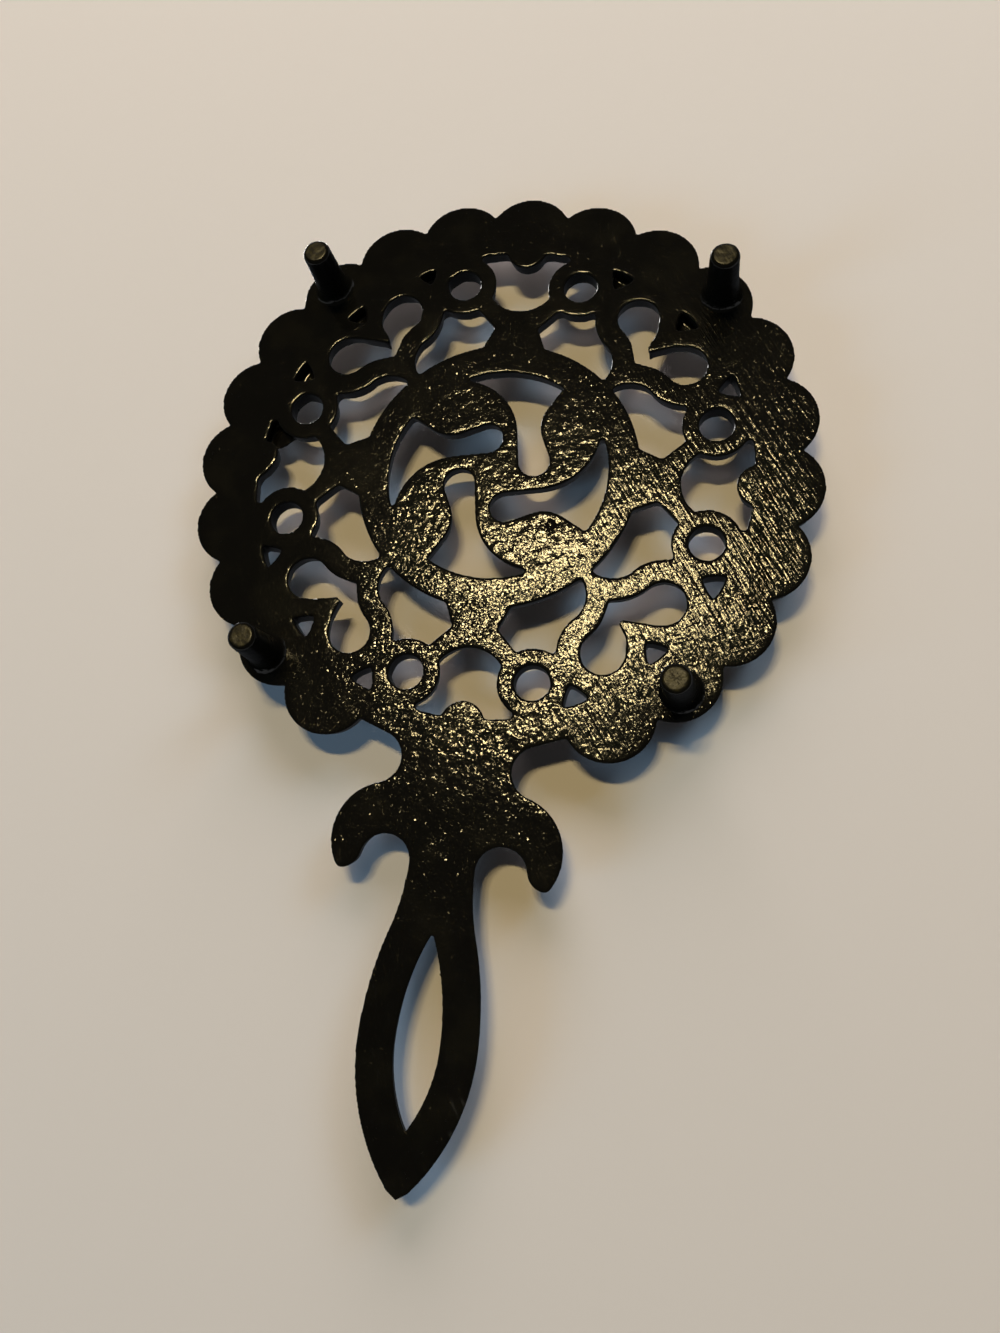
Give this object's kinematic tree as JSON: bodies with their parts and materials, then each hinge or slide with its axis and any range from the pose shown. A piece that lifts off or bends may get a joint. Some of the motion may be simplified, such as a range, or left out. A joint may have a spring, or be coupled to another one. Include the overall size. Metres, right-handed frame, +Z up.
{
  "type": "trivet",
  "caption": "Round openwork cast iron trivet with a scalloped rim, pierced hearts and a pinwheel hub, standing on peg legs, with a leaf-shaped handle slotted for hanging.",
  "frame": {"origin": "middle of the whole footprint, on the surface that the legs stand on", "axes": "+Z up through the pot face, +Y from the handle's tip towards the far rim, +X to the right as seen from the handle"},
  "size_m": [0.1354, 0.2112, 0.0175],
  "materials": {
    "black_iron": "gloss black paint over gritty sand-cast iron"
  },
  "bodies": {
    "root": {"plate": "black_iron", "handle": "black_iron", "leg_far_right": "black_iron", "leg_far_left": "black_iron", "leg_near_left": "black_iron", "leg_near_right": "black_iron"}
  },
  "joints": []
}
